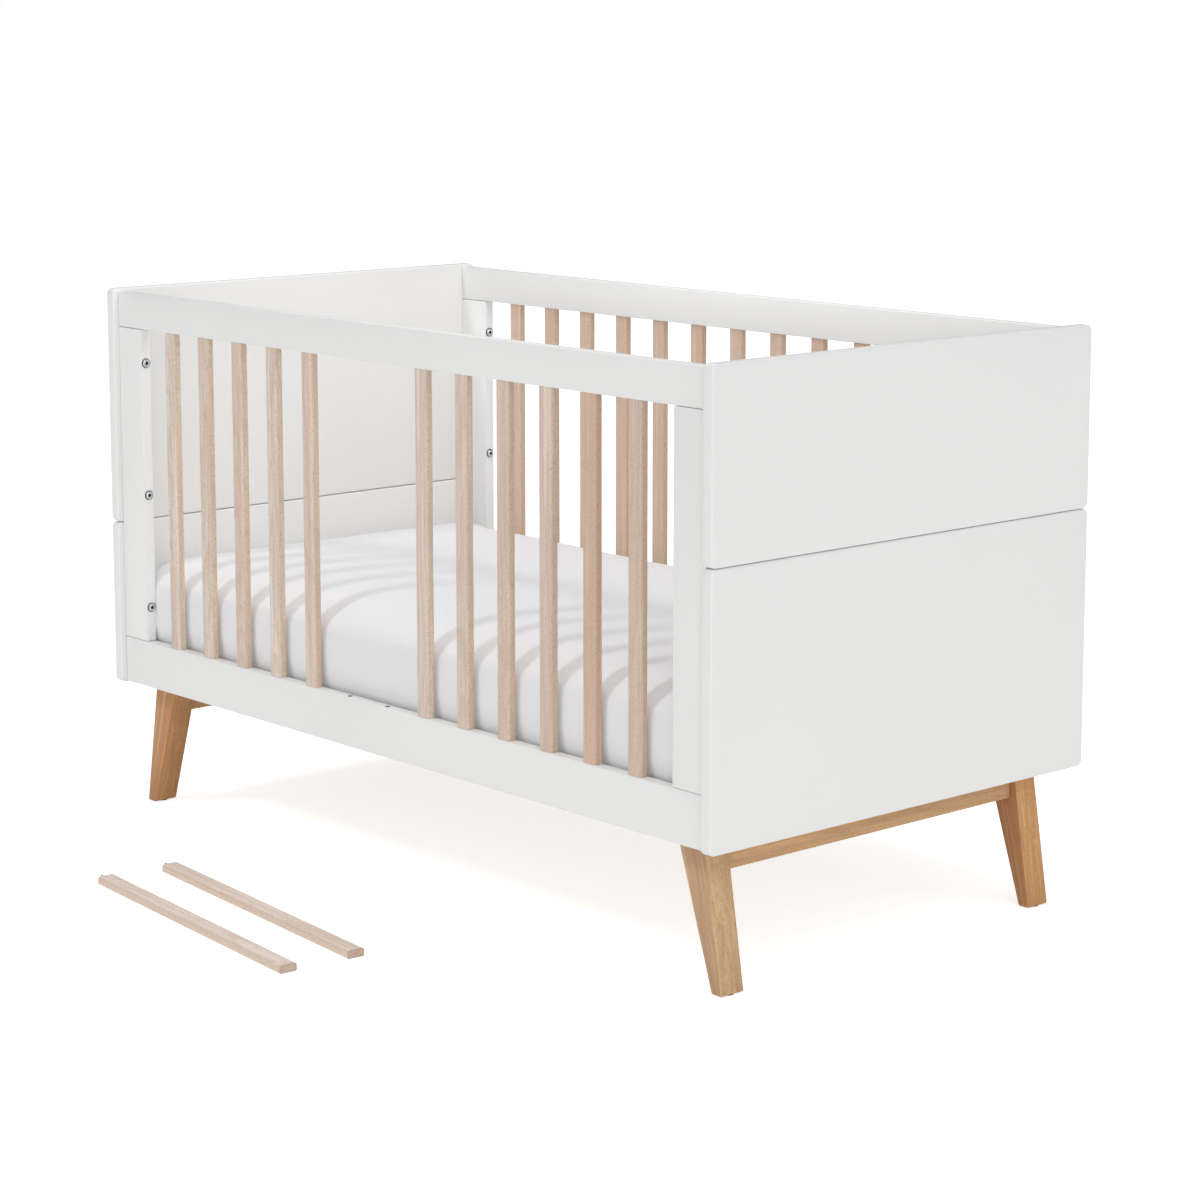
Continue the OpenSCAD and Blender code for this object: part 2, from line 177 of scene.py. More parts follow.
class Graph:
    """One material and short calls for adding nodes to it. A value is a number, colour or socket."""

    def __init__(self, name, **shader):
        self.material = bpy.data.materials.new(name)
        self.material.use_nodes = True
        self.tree = self.material.node_tree
        self.shader = self.tree.nodes["Principled BSDF"]
        for socket, value in shader.items():
            self.put(self.shader.inputs[socket.replace("_", " ")], value)

    def put(self, socket, value):
        if isinstance(value, bpy.types.NodeSocket):
            self.tree.links.new(value, socket)
        else:
            socket.default_value = value

    def node(self, kind, values=(), **settings):
        made = self.tree.nodes.new("ShaderNode" + kind)
        for name, setting in settings.items():
            setattr(made, name, setting)
        for name, value in dict(values).items():
            self.put(made.inputs[name], value)
        return made

    def place(self, scale=(1, 1, 1), turn=(0, 0, 0)):
        """Object coordinates, turned and then scaled."""
        raw = self.node("TexCoord").outputs["Object"]
        turned = self.node("Mapping", {"Vector": raw, "Rotation": turn})
        return self.node("Mapping", {"Vector": turned.outputs[0], "Scale": scale}).outputs[0]

    def scaled(self, vector, scale):
        return self.node("VectorMath", {0: vector, 1: scale}, operation="MULTIPLY").outputs[0]

    def added(self, a, b):
        return self.node("VectorMath", {0: a, 1: b}, operation="ADD").outputs[0]

    def math(self, operation, a, b=0.0):
        return self.node("Math", {0: a, 1: b}, operation=operation).outputs[0]

    def noise(self, vector, scale, detail=2.0, roughness=0.5, distortion=0.0):
        values = {
            "Vector": vector,
            "Scale": scale,
            "Detail": detail,
            "Roughness": roughness,
            "Distortion": distortion,
        }
        return self.node("TexNoise", values).outputs[0]

    def span(self, value, low, high, to_low=0.0, to_high=1.0):
        values = {
            "Value": value,
            "From Min": low,
            "From Max": high,
            "To Min": to_low,
            "To Max": to_high,
        }
        return self.node("MapRange", values).outputs[0]

    def mix(self, share, a, b, blend="MIX"):
        made = self.node("Mix", data_type="RGBA", blend_type=blend)
        self.put(made.inputs[0], share)
        self.put(made.inputs[6], a)
        self.put(made.inputs[7], b)
        return made.outputs[2]

    def bump(self, height, distance, strength=1.0, under=None):
        values = {"Height": height, "Distance": distance, "Strength": strength}
        if under is not None:
            values["Normal"] = under
        return self.node("Bump", values).outputs[0]

    def own(self, name):
        """A number that each object carries as a custom property."""
        return self.node("Attribute", attribute_type="OBJECT", attribute_name=name).outputs["Fac"]

    def facing(self, turn=(0, 0, 0)):
        """The surface's own normal, in object axes turned the same way as the grain."""
        raw = self.node("TexCoord").outputs["Normal"]
        turned = self.node("Mapping", {"Vector": raw, "Rotation": turn}, vector_type="NORMAL")
        return self.node("SeparateXYZ", {0: turned.outputs[0]}).outputs


def rgb(r, g, b):
    """A colour from sRGB numbers of 0 to 255, as the shader wants it."""
    return tuple(
        c / 255 / 12.92 if c <= 10 else ((c / 255 + 0.055) / 1.055) ** 2.4 for c in (r, g, b)
    ) + (1.0,)


def white_paint():
    """Sprayed satin lacquer on board: faint orange peel, slight unevenness and a little dust."""
    g = Graph("white_paint", Specular_IOR_Level=0.42)
    where = g.place()
    cloud = g.noise(where, 3.2, 3)
    tone = g.mix(g.span(cloud, 0.35, 0.65), rgb(235, 235, 234), rgb(237, 237, 236))
    dust = g.noise(where, 55, 4, 0.7)
    tone = g.mix(g.span(dust, 0.66, 0.80, 0.0, 0.05), tone, rgb(208, 205, 199))
    g.put(g.shader.inputs["Base Color"], tone)
    g.put(g.shader.inputs["Roughness"], g.span(g.noise(where, 40, 3), 0.3, 0.7, 0.34, 0.44))
    peel = g.bump(g.noise(where, 420, 2), 0.00005, 0.6)
    sag = g.bump(g.noise(where, 26, 2), 0.0004, 0.25, peel)
    g.put(g.shader.inputs["Normal"], sag)
    return g.material


def beech(name, turn, face, edge, light, dark, pore, warm_tint, figure_share, fleck_share, shine):
    """Beech with its grain along the turned Z axis. face and edge are the colours of the two pairs of
    long faces: partly the wood's two cuts and partly painted light and shade, as each pair was lit.
    light is both the early wood and a painted highlight along the rounded arrises, dark the late wood,
    pore the rays and pores, which also tint the sawn ends. Each piece's own numbers place its grain and
    say how far warm_tint goes."""
    g = Graph(name, Specular_IOR_Level=shine)
    seed = g.own("grain_seed")
    moves = {0: seed, 1: g.math("MULTIPLY", seed, 1.7), 2: g.math("MULTIPLY", seed, 3.1)}
    where = g.added(g.place(turn=turn), g.node("CombineXYZ", moves).outputs[0])
    facing = g.facing(turn)
    side = g.span(g.math("ABSOLUTE", facing[0]), 0.35, 0.75)
    end = g.span(g.math("ABSOLUTE", facing[2]), 0.6, 0.85)

    cloud = g.noise(g.scaled(where, (16, 16, 1.5)), 1.0, 3, 0.55, 0.9)
    arches = g.noise(g.scaled(where, (15, 15, 2.2)), 1.0, 1, 0.4, 0.3)
    late_wood = g.math("FRACT", g.math("MULTIPLY", arches, LATE_WOOD_LINES))
    rings = g.noise(g.scaled(where, (170, 170, 3.0)), 1.0, 3, 0.6, 0.4)
    fibre = g.noise(g.scaled(where, (760, 760, 22)), 1.0, 3, 0.65)
    rays = g.noise(g.scaled(where, (1150, 1150, 260)), 1.0, 1, 0.5)

    # Painted highlight: the rounded arrises between the two pairs of faces are painted lighter, as
    # where they catch the light.
    arris_highlight = g.math("MULTIPLY", side, g.math("SUBTRACT", 1.0, side))
    # The side pair of faces takes the edge colour: partly the wood's other cut, partly painted light
    # and shade of how that pair is lit.
    tone = g.mix(side, face, edge)
    tone = g.mix(g.math("MULTIPLY", arris_highlight, 2.4), tone, light)
    warm = g.mix(1.0, tone, warm_tint, "MULTIPLY")
    tone = g.mix(g.own("grain_warmth"), tone, warm)
    tone = g.mix(g.span(cloud, 0.42, 0.60, 0.0, 0.30), tone, dark)
    tone = g.mix(g.span(late_wood, 0.45, 0.95, 0.0, figure_share), tone, dark)
    tone = g.mix(g.span(rings, 0.42, 0.66, 0.0, 0.50), tone, dark)
    tone = g.mix(g.span(rings, 0.44, 0.30, 0.0, 0.45), tone, light)
    tone = g.mix(g.span(fibre, 0.48, 0.72, 0.0, 0.55), tone, dark)
    flecks = g.span(rays, 0.58, 0.66, 0.0, 1.0)
    more = g.math("ADD", g.math("MULTIPLY", side, 0.35), 0.65)
    flecks = g.math("MULTIPLY", g.math("MULTIPLY", flecks, more), fleck_share)
    tone = g.mix(flecks, tone, pore)
    tone = g.mix(g.math("MULTIPLY", end, 0.62), tone, pore)
    g.put(g.shader.inputs["Base Color"], tone)
    g.put(g.shader.inputs["Roughness"], g.span(fibre, 0.3, 0.8, 0.46, 0.62))
    open_pores = g.bump(flecks, -0.00012, 0.5)
    g.put(g.shader.inputs["Normal"], g.bump(fibre, 0.00009, 0.5, open_pores))
    return g.material


def birch():
    """Plain birch of the base: paler, closer grain along X or Y by the object's own grain_along_y
    number.
    """
    g = Graph("plain_birch", Specular_IOR_Level=0.3)
    along_y = g.own("grain_along_y")
    where = g.place()
    lengthwise = g.scaled(where, (2, 130, 130))
    crosswise = g.scaled(where, (130, 2, 130))
    vector = g.node("Mix", data_type="VECTOR")
    g.put(vector.inputs[0], along_y)
    g.put(vector.inputs[4], lengthwise)
    g.put(vector.inputs[5], crosswise)
    grain = g.noise(vector.outputs[1], 1.0, 4, 0.6, 0.5)
    cloud = g.noise(where, 9, 2)
    tone = g.mix(g.span(grain, 0.35, 0.68), rgb(226, 205, 172), rgb(203, 175, 136))
    tone = g.mix(g.span(cloud, 0.35, 0.7, 0.0, 0.3), tone, rgb(214, 184, 147))
    g.put(g.shader.inputs["Base Color"], tone)
    g.put(g.shader.inputs["Roughness"], g.span(grain, 0.3, 0.8, 0.55, 0.7))
    g.put(g.shader.inputs["Normal"], g.bump(grain, 0.00012, 0.5))
    return g.material


def bare_wood_and_shade():
    """Drilled, unpainted wood inside the sockets and pin holes, painted much darker than bare wood is,
    as painted shade deep in the holes.
    """
    g = Graph("bare_wood_and_shade", Specular_IOR_Level=0.2)
    where = g.place()
    cut = g.noise(g.scaled(where, (400, 400, 2200)), 1.0, 3)
    # Dark browns: the bare wood's own colour darkened into painted shade.
    tone = g.mix(g.span(cut, 0.35, 0.7), rgb(104, 80, 58), rgb(58, 40, 26))
    g.put(g.shader.inputs["Base Color"], tone)
    g.put(g.shader.inputs["Roughness"], g.span(cut, 0.3, 0.7, 0.7, 0.9))
    g.put(g.shader.inputs["Normal"], g.bump(cut, 0.0002, 0.6))
    return g.material


def steel(name, light, dark):
    """Zinc-plated steel: blotchy grey with fine tooling marks."""
    g = Graph(name, Metallic=1.0)
    where = g.place()
    blotch = g.noise(where, 240, 3)
    marks = g.noise(g.scaled(where, (300, 2600, 2600)), 1.0, 2)
    tone = g.mix(g.span(blotch, 0.35, 0.7), light, dark)
    g.put(g.shader.inputs["Base Color"], tone)
    g.put(g.shader.inputs["Roughness"], g.span(marks, 0.3, 0.7, 0.24, 0.42))
    g.put(g.shader.inputs["Normal"], g.bump(marks, 0.00003, 0.5))
    return g.material


def brown_plastic():
    """Scuffed plastic of the glides under the legs."""
    g = Graph("brown_plastic", Specular_IOR_Level=0.4)
    where = g.place()
    grain = g.noise(where, 1500, 2)
    scuffs = g.noise(where, 160, 4, 0.7)
    tone = g.mix(g.span(scuffs, 0.5, 0.75), rgb(92, 78, 68), rgb(128, 114, 102))
    g.put(g.shader.inputs["Base Color"], tone)
    g.put(g.shader.inputs["Roughness"], g.span(scuffs, 0.3, 0.8, 0.45, 0.7))
    g.put(g.shader.inputs["Normal"], g.bump(grain, 0.00008, 0.4))
    return g.material


def knit_height(g, where, facing):
    """Height of a plain knit: ribs of small loops, laid flat on whichever way the surface faces."""
    parts = g.node("SeparateXYZ", {0: where}).outputs
    on_end = g.span(g.math("ABSOLUTE", facing[0]), 0.55, 0.80)
    across = g.node("Mix", {0: on_end, 2: parts[0], 3: parts[1]}).outputs[0]
    down = g.math("SUBTRACT", parts[2], g.math("ABSOLUTE", parts[1]))
    down = g.node("Mix", {0: on_end, 2: down, 3: parts[2]}).outputs[0]
    turn = math.tau / KNIT_STITCH
    rib = g.math("SINE", g.math("MULTIPLY", across, turn))
    lean = g.math("MULTIPLY", g.math("ABSOLUTE", rib), 1.6)
    loop = g.math("SINE", g.math("ADD", g.math("MULTIPLY", down, turn * 1.3), lean))
    ribs = g.math("MULTIPLY", g.math("ABSOLUTE", rib), 0.6)
    return g.math("ADD", ribs, g.math("MULTIPLY", loop, 0.4))


def cotton():
    """White cotton jersey."""
    g = Graph("cotton", Specular_IOR_Level=0.2, Sheen_Weight=0.25, Sheen_Roughness=0.45)
    where = g.place()
    facing = g.facing()
    knit = knit_height(g, where, facing)
    lint = g.noise(where, 620, 4, 0.7)
    creases = g.noise(g.scaled(where, (7, 11, 9)), 1.0, 3, 0.5, 0.6)
    slub = g.noise(g.scaled(where, (30, 420, 420)), 1.0, 2)
    tone = g.mix(g.span(knit, -0.2, 0.8), rgb(229, 229, 231), rgb(239, 239, 240))
    tone = g.mix(g.span(slub, 0.55, 0.8, 0.0, 0.25), tone, rgb(222, 222, 225))
    g.put(g.shader.inputs["Base Color"], tone)
    g.put(g.shader.inputs["Roughness"], g.span(lint, 0.3, 0.7, 0.80, 0.95))
    soft = g.bump(creases, 0.006, 0.35)
    fuzz = g.bump(lint, 0.0003, 0.35, soft)
    g.put(g.shader.inputs["Normal"], g.bump(knit, 0.0003, 0.45, fuzz))
    return g.material


def ticking():
    """Quilted cover of the mattress, seen only from below."""
    g = Graph("ticking", Specular_IOR_Level=0.2, Sheen_Weight=0.2, Sheen_Roughness=0.5)
    where = g.place()
    parts = g.node("SeparateXYZ", {0: where}).outputs
    half_turn = math.pi / QUILT_PITCH
    one = g.math("SINE", g.math("MULTIPLY", g.math("ADD", parts[0], parts[1]), half_turn))
    two = g.math("SINE", g.math("MULTIPLY", g.math("SUBTRACT", parts[0], parts[1]), half_turn))
    quilt = g.math("MINIMUM", g.math("ABSOLUTE", one), g.math("ABSOLUTE", two))
    weave = g.noise(g.scaled(where, (700, 700, 300)), 1.0, 3, 0.6)
    tone = g.mix(g.span(quilt, 0.0, 0.25), rgb(205, 201, 190), rgb(237, 235, 227))
    tone = g.mix(g.span(weave, 0.45, 0.7, 0.0, 0.3), tone, rgb(221, 218, 208))
    g.put(g.shader.inputs["Base Color"], tone)
    g.put(g.shader.inputs["Roughness"], g.span(weave, 0.3, 0.7, 0.75, 0.92))
    puff = g.bump(g.span(quilt, 0.0, 0.5), 0.004, 0.8)
    g.put(g.shader.inputs["Normal"], g.bump(weave, 0.0003, 0.4, puff))
    return g.material


def lying_turn(heading):
    """The turn that takes a board lying flat, its length at a heading from +X, upright on its end."""
    along = Vector((math.cos(heading), math.sin(heading), 0))
    across = Vector((-along.y, along.x, 0))
    return Matrix((across, Vector((0, 0, 1)), along)).to_euler()


def pale_beech(name, turn, face, dark):
    """Untreated beech of the slats."""
    return beech(
        name,
        turn,
        face=face,
        # The slats' side faces, darker and more tan than their fronts: partly their cut, partly painted
        # shade.
        edge=rgb(224, 209, 190),
        # Early wood, and the painted highlight along the slats' arrises
        light=rgb(242, 232, 215),
        dark=dark,
        pore=rgb(146, 112, 88),
        warm_tint=rgb(232, 204, 186),
        figure_share=0.45,
        fleck_share=0.50,
        shine=0.30,
    )


def oiled_beech(name, turn):
    """Oiled beech of the legs and crossbars."""
    return beech(
        name,
        turn,
        # The X-facing pair of the legs and crossbars is lighter and yellower than the other pair:
        # partly their cut, partly painted light.
        face=rgb(204, 168, 134),
        edge=rgb(226, 195, 150),
        # Early wood, and the painted highlight along the legs' and crossbars' arrises
        light=rgb(230, 203, 164),
        dark=rgb(180, 140, 102),
        pore=rgb(126, 84, 50),
        warm_tint=rgb(251, 196, 134),
        figure_share=0.30,
        fleck_share=0.42,
        shine=0.42,
    )


PAINT = white_paint()
UPRIGHT_BEECH = pale_beech("pale_beech", (0, 0, 0), rgb(234, 223, 214), rgb(202, 178, 160))
# The lying slats get a lighter copy of the slats' beech: painted light on the faces that lie up towards
# the lamps.
LYING_BEECH_PAINTED_LIGHT = pale_beech(
    "pale_beech_lying_painted_light", lying_turn(LOOSE_TURN), rgb(254, 245, 238), rgb(218, 196, 180)
)
LEG_BEECH = {
    end: oiled_beech(f"oiled_beech_{name}_leg", (0, end * LEG_LEAN, 0))
    for end, name in END_NAMES.items()
}
CROSSBAR_BEECH = oiled_beech("oiled_beech_crossbar", (math.radians(90), 0, 0))
BIRCH = birch()
BARE_WOOD_AND_SHADE = bare_wood_and_shade()
STEEL = steel("steel", rgb(228, 230, 233), rgb(190, 191, 194))
# Black steel: the spring pins' real finish, and painted shade in the bolt heads' grooves and sockets.
BLACK_STEEL_AND_SHADE = steel("black_steel_and_shade", rgb(74, 75, 78), rgb(40, 41, 43))
PLASTIC = brown_plastic()
COTTON = cotton()
TICKING = ticking()


# ---- Rigid pieces ----


def smooth(bm):
    """Smooth shading with every edge sharper than the crease angle kept crisp."""
    for face in bm.faces:
        face.smooth = True
    for edge in bm.edges:
        edge.smooth = not edge.is_manifold or edge.calc_face_angle(0.0) < CREASE


def made_mesh(name, bm):
    """Turns the working mesh into a lasting one."""
    mesh = bpy.data.meshes.new(name)
    bm.to_mesh(mesh)
    bm.free()
    return mesh


def placed(name, data):
    """Adds an object with this mesh, lamp or camera to the scene."""
    obj = bpy.data.objects.new(name, data)
    bpy.context.scene.collection.objects.link(obj)
    return obj


def applied(obj):
    """The object's mesh with its modifiers applied."""
    bpy.context.view_layer.update()
    graph = bpy.context.evaluated_depsgraph_get()
    mesh = bpy.data.meshes.new_from_object(obj.evaluated_get(graph))
    obj.modifiers.clear()
    obj.data = mesh
    return mesh


def stand_for(obj, node):
    """Makes the object replace a CAD node and ride on that node's body."""
    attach(obj, frame["nodes"][node]["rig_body"])
    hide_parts(node)


def piece(name, bm, material, node, slot, **numbers):
    """Makes the mesh into an object that stands for a CAD node. The numbers are for its material."""
    smooth(bm)
    obj = placed(name, made_mesh(name, bm))
    obj.data.materials.append(material)
    for key, value in numbers.items():
        obj[key] = value
    stand_for(obj, node)
    return obj


def bevelled(bm, edges, width, segments=3):
    """Rounds the edges to a radius of width."""
    bmesh.ops.bevel(
        bm,
        geom=list(edges),
        offset=width,
        segments=segments,
        profile=0.5,
        affect="EDGES",
        clamp_overlap=True,
    )


def add_block(bm, low, high, edge_r):
    """A bar or board with its edges rounded."""
    size = high - low
    place = Matrix.Translation((low + high) / 2) @ Matrix.Diagonal((*size, 1))
    made = bmesh.ops.create_cube(bm, size=1.0, matrix=place)
    edges = {edge for vert in made["verts"] for edge in vert.link_edges}
    bevelled(bm, edges, edge_r)


def add_prism(bm, outline, along, length, edge_r, segments=3):
    """A flat outline, a list of points, drawn out by length along a direction, with rounded edges."""
    face = bm.faces.new([bm.verts.new(point) for point in outline])
    pulled = bmesh.ops.extrude_face_region(bm, geom=[face])["geom"]
    moved = [v for v in pulled if isinstance(v, bmesh.types.BMVert)]
    bmesh.ops.translate(bm, verts=moved, vec=along * length)
    bmesh.ops.recalc_face_normals(bm, faces=bm.faces)
    rims = [e for e in bm.edges if e.is_manifold and e.calc_face_angle() > CREASE]
    bevelled(bm, rims, edge_r, segments)


def islands(bm):
    """The separate solids in a mesh, as (lowest, highest) corners, sorted by place."""
    left = set(bm.verts)
    found = []
    while left:
        stack = [next(iter(left))]
        group = set()
        while stack:
            vert = stack.pop()
            if vert in group:
                continue
            group.add(vert)
            stack.extend(edge.other_vert(vert) for edge in vert.link_edges)
        left -= group
        low = Vector(min(v.co[i] for v in group) for i in range(3))
        high = Vector(max(v.co[i] for v in group) for i in range(3))
        found.append((low, high))
    return sorted(found, key=lambda pair: tuple(pair[0]))


def solids_of(node):
    """The boxes of a CAD node's separate solids."""
    bm = bmesh.new()
    bm.from_mesh(frame["nodes"][node].data)
    bmesh.ops.remove_doubles(bm, verts=bm.verts, dist=1e-5)
    found = islands(bm)
    bm.free()
    return found


def blocks(node, material, slot, edge_r, gap=0.0, **numbers):
    """A node made only of bars or boards, kept back by gap from whatever they meet in X and Z."""
    back = Vector((gap, 0, gap))
    bm = bmesh.new()
    for low, high in solids_of(node):
        add_block(bm, low + back, high - back, edge_r)
    return piece(node + "_wood", bm, material, node, slot, **numbers)


def rounded_loop(half_x, half_y, r, steps):
    """Points of a rounded rectangle round the origin, anticlockwise, with steps in each corner."""
    points = []
    for sx, sy, start in ((1, 1, 0), (-1, 1, 90), (-1, -1, 180), (1, -1, 270)):
        for step in range(steps + 1):
            angle = math.radians(start + 90 * step / steps)
            x = sx * (half_x - r) + r * math.cos(angle)
            y = sy * (half_y - r) + r * math.sin(angle)
            points.append((x, y))
    return points


def end_panel(node):
    """One piece of an end panel: a board with rounded corners and softened edges."""
    low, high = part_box(node)
    middle, half = (low + high) / 2, (high - low) / 2
    loop = rounded_loop(half.y, half.z, PANEL_CORNER_R, ROUND_STEPS)
    outline = [(low.x, middle.y + y, middle.z + z) for y, z in loop]
    bm = bmesh.new()
    add_prism(bm, outline, Vector((1, 0, 0)), high.x - low.x, PANEL_EDGE_R, segments=4)
    piece(node + "_board", bm, PAINT, node, "white_paint")


def cut_out(obj, make_cutter):
    """Takes holes out of a finished piece, down to bare wood that is painted dark as shade. make_cutter
    fills a mesh with cutters.
    """
    bm = bmesh.new()
    make_cutter(bm)
    cutter = placed("cutter", made_mesh("cutter", bm))
    cutter.data.materials.append(BARE_WOOD_AND_SHADE)
    modifier = obj.modifiers.new("holes", "BOOLEAN")
    modifier.operation = "DIFFERENCE"
    modifier.solver = "EXACT"
    modifier.object = cutter
    modifier.material_mode = "TRANSFER"
    cut = applied(obj)
    bpy.data.objects.remove(cutter)
    bm = bmesh.new()
    bm.from_mesh(cut)
    smooth(bm)
    bm.to_mesh(cut)
    bm.free()


def slat_middle(side, i):
    """Where a slat stands, or would stand in an open place, counted between the rear's end slats."""
    first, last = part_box("rear_slat_1"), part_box(f"rear_slat_{SLAT_COUNT}")
    share = (i - 1) / (SLAT_COUNT - 1)
    x = ((first[0].x + first[1].x) * (1 - share) + (last[0].x + last[1].x) * share) / 2
    low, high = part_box(f"{SIDE_NAMES[side]}_slat_1")
    return Vector((x, (low.y + high.y) / 2, 0))


def side_frame(side):
    """The painted bars of one side, with the holes that the removed slats leave in the front."""
    name = SIDE_NAMES[side]
    top = blocks(f"{name}_top_rail", PAINT, "white_paint", RAIL_EDGE_R, JOINT_GAP)
    bottom = blocks(f"{name}_bottom_rail", PAINT, "white_paint", RAIL_EDGE_R, JOINT_GAP)
    for end in END_NAMES.values():
        blocks(f"{name}_stile_{end}", PAINT, "white_paint", RAIL_EDGE_R / 2, JOINT_GAP)
    if side == REAR:
        return
    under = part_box("front_top_rail")[0].z
    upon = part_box("front_bottom_rail")[1].z

    def sockets(bm):
        half = Vector((SLAT_SOCKET[0] / 2, SLAT_SOCKET[1] / 2, 0))
        for i in OPEN_SLATS:
            middle = slat_middle(side, i)
            low = middle - half + Vector((0, 0, under - SLAT_SOCKET[2]))
            high = middle + half + Vector((0, 0, under + SLAT_SOCKET[2]))
            add_block(bm, low, high, SLAT_SOCKET_R)

    def pin_holes(bm):
        for i in OPEN_SLATS:
            place = Matrix.Translation(slat_middle(side, i) + Vector((0, 0, upon)))
            bmesh.ops.create_cone(
                bm,
                cap_ends=True,
                segments=4 * ROUND_STEPS,
                radius1=PIN_HOLE_R,
                radius2=PIN_HOLE_R,
                depth=2 * PIN_HOLE_DEPTH,
                matrix=place,
            )

    cut_out(top, sockets)
    cut_out(bottom, pin_holes)


def leg(end, side):
    """A leg that narrows and leans out towards its foot."""
    node = f"leg_{END_NAMES[end]}_{SIDE_NAMES[side]}"
    vertices = frame["nodes"][node].data.vertices
    low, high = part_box(node)
    near = 1e-4
    ends = []
    for z in (low.z, high.z):
        xs = [v.co.x for v in vertices if abs(v.co.z - z) < near]
        ends.append(((min(xs), low.y, z), (max(xs), low.y, z)))
    foot, top = ends
    outline = [foot[0], foot[1], top[1], top[0]]
    bm = bmesh.new()
    add_prism(bm, outline, Vector((0, 1, 0)), high.y - low.y, LEG_EDGE_R)
    piece(
        node + "_wood",
        bm,
        LEG_BEECH[end],
        node,
        "oiled_beech",
        grain_seed=random.Random(node).uniform(0, 9),
        grain_warmth=0.0 if (end, side) == PALE_LEG else LEG_WARMTH,
    )


def bolt_ring(bm, seat, rise, radius, hexagonal):
    """One ring of points round a bolt that lies along X."""
    ring = []
    for k in range(BOLT_SIDES):
        angle = math.tau * k / BOLT_SIDES
        r = radius
        if hexagonal:
            r *= math.cos(math.pi / 6) / math.cos(angle % (math.pi / 3) - math.pi / 6)
        ring.append(bm.verts.new(seat + Vector((rise, r * math.cos(angle), r * math.sin(angle)))))
    return ring


def add_wall(bm, lower, upper):
    """Faces between two rings of as many points each."""
    made = []
    for k in range(len(lower)):
        j = (k + 1) % len(lower)
        made.append(bm.faces.new((lower[k], lower[j], upper[j], upper[k])))
    return made


def add_bolt(bm, seat, outward, shaft):
    """A bolt lying along X, its flange's underside at seat and its shaft going in from there."""
    shaft_end = (BOLT_ROWS[0][0], -shaft, False, False)
    rings = []
    for radius, rise, hexagonal, dark in (shaft_end,) + BOLT_ROWS:
        rings.append((bolt_ring(bm, seat, outward * rise, radius, hexagonal), dark))
    shaft_cap = bm.faces.new(rings[0][0])
    socket_floor = bm.faces.new(rings[-1][0])
    # The socket's floor and the dark rows are painted shade in dark steel.
    socket_floor.material_index = 1
    made = [shaft_cap, socket_floor]
    for (lower, _), (upper, dark) in zip(rings, rings[1:]):
        for face in add_wall(bm, lower, upper):
            face.material_index = int(dark)
            made.append(face)
    bmesh.ops.recalc_face_normals(bm, faces=made)


def side_bolts():
    """The bolts that hold the sides, with painted shade in their heads' grooves and sockets."""
    bm = bmesh.new()
    for low, high in solids_of("side_bolts"):
        middle, half = (low + high) / 2, (high.x - low.x) / 2
        outward = -math.copysign(1, middle.x)
        seat = middle + Vector((outward * (half - BOLT_HEAD), 0, 0))
        add_bolt(bm, seat, outward, 2 * half - BOLT_HEAD)
    obj = piece("side_bolts_steel", bm, STEEL, "side_bolts", "steel")
    obj.data.materials.append(BLACK_STEEL_AND_SHADE)


def finish_node(node, material, slot, **numbers):
    """Keeps a CAD node's own shape and gives it its material."""
    obj = frame["nodes"][node]
    obj.data.materials.clear()
    obj.data.materials.append(material)
    for key, value in numbers.items():
        obj[key] = value


def slat_numbers(side):
    """The places of one side that hold a slat, from the foot end."""
    return [i for i in range(1, SLAT_COUNT + 1) if side == REAR or i not in OPEN_SLATS]


def finish_slat(node, material, seed, warmth):
    """Gives a slat its beech, with grain of its own."""
    finish_node(node, material, "pale_beech", grain_seed=seed, grain_warmth=warmth)


def fixed_slats(side):
    """The slats of one side that stand in it."""
    for i in slat_numbers(side):
        node = f"{SIDE_NAMES[side]}_slat_{i}"
        chance = random.Random(node)
        warmth = FRONT_WARMTH[i - 1] if side == FRONT else chance.uniform(*REAR_WARMTH)
        finish_slat(node, UPRIGHT_BEECH, chance.uniform(0, 9), warmth)


def removed_slat(name):
    """A slat taken out of the front, lying on the floor with its sprung pin."""
    finish_slat(f"loose_slat_{name}", LYING_BEECH_PAINTED_LIGHT, random.Random(name).uniform(0, 9), LOOSE_WARMTH)
    finish_node(f"pin_housing_{name}", STEEL, "steel")
    finish_node(f"spring_pin_{name}", BLACK_STEEL_AND_SHADE, "steel")


def legs_and_crossbar(end):
    """The two legs of one end and the bar between them."""
    for side in SIDE_NAMES:
        leg(end, side)
    blocks(
        f"leg_crossbar_{END_NAMES[end]}",
        CROSSBAR_BEECH,
        "oiled_beech",
        CROSSBAR_EDGE_R,
        grain_seed=3.0 + end,
        grain_warmth=CROSSBAR_WARMTH,
    )


def build_rigid_pieces():
    """Every piece that is not cloth or foam."""
    for end in END_NAMES.values():
        for part in ("upper", "lower"):
            end_panel(f"{end}_panel_{part}")
    for side in SIDE_NAMES:
        side_frame(side)
        fixed_slats(side)
    for end in END_NAMES:
        legs_and_crossbar(end)
    for name in ("a", "b"):
        removed_slat(name)
    blocks("leg_boards", BIRCH, "plain_birch", BOARD_EDGE_R, grain_along_y=1.0)
    blocks("base_slats", BIRCH, "plain_birch", BOARD_EDGE_R, grain_along_y=1.0)
    blocks("base_frame", BIRCH, "plain_birch", BOARD_EDGE_R, grain_along_y=0.0)
    side_bolts()
    for node in ("side_inserts", "leg_bolts", "base_brackets", "wood_screws"):
        finish_node(node, STEEL, "steel")
    finish_node("dowels", BIRCH, "plain_birch", grain_along_y=1.0)
    finish_node("foot_glides", PLASTIC, "brown_plastic")


build_rigid_pieces()


# ---- Mattress and fitted sheet ----


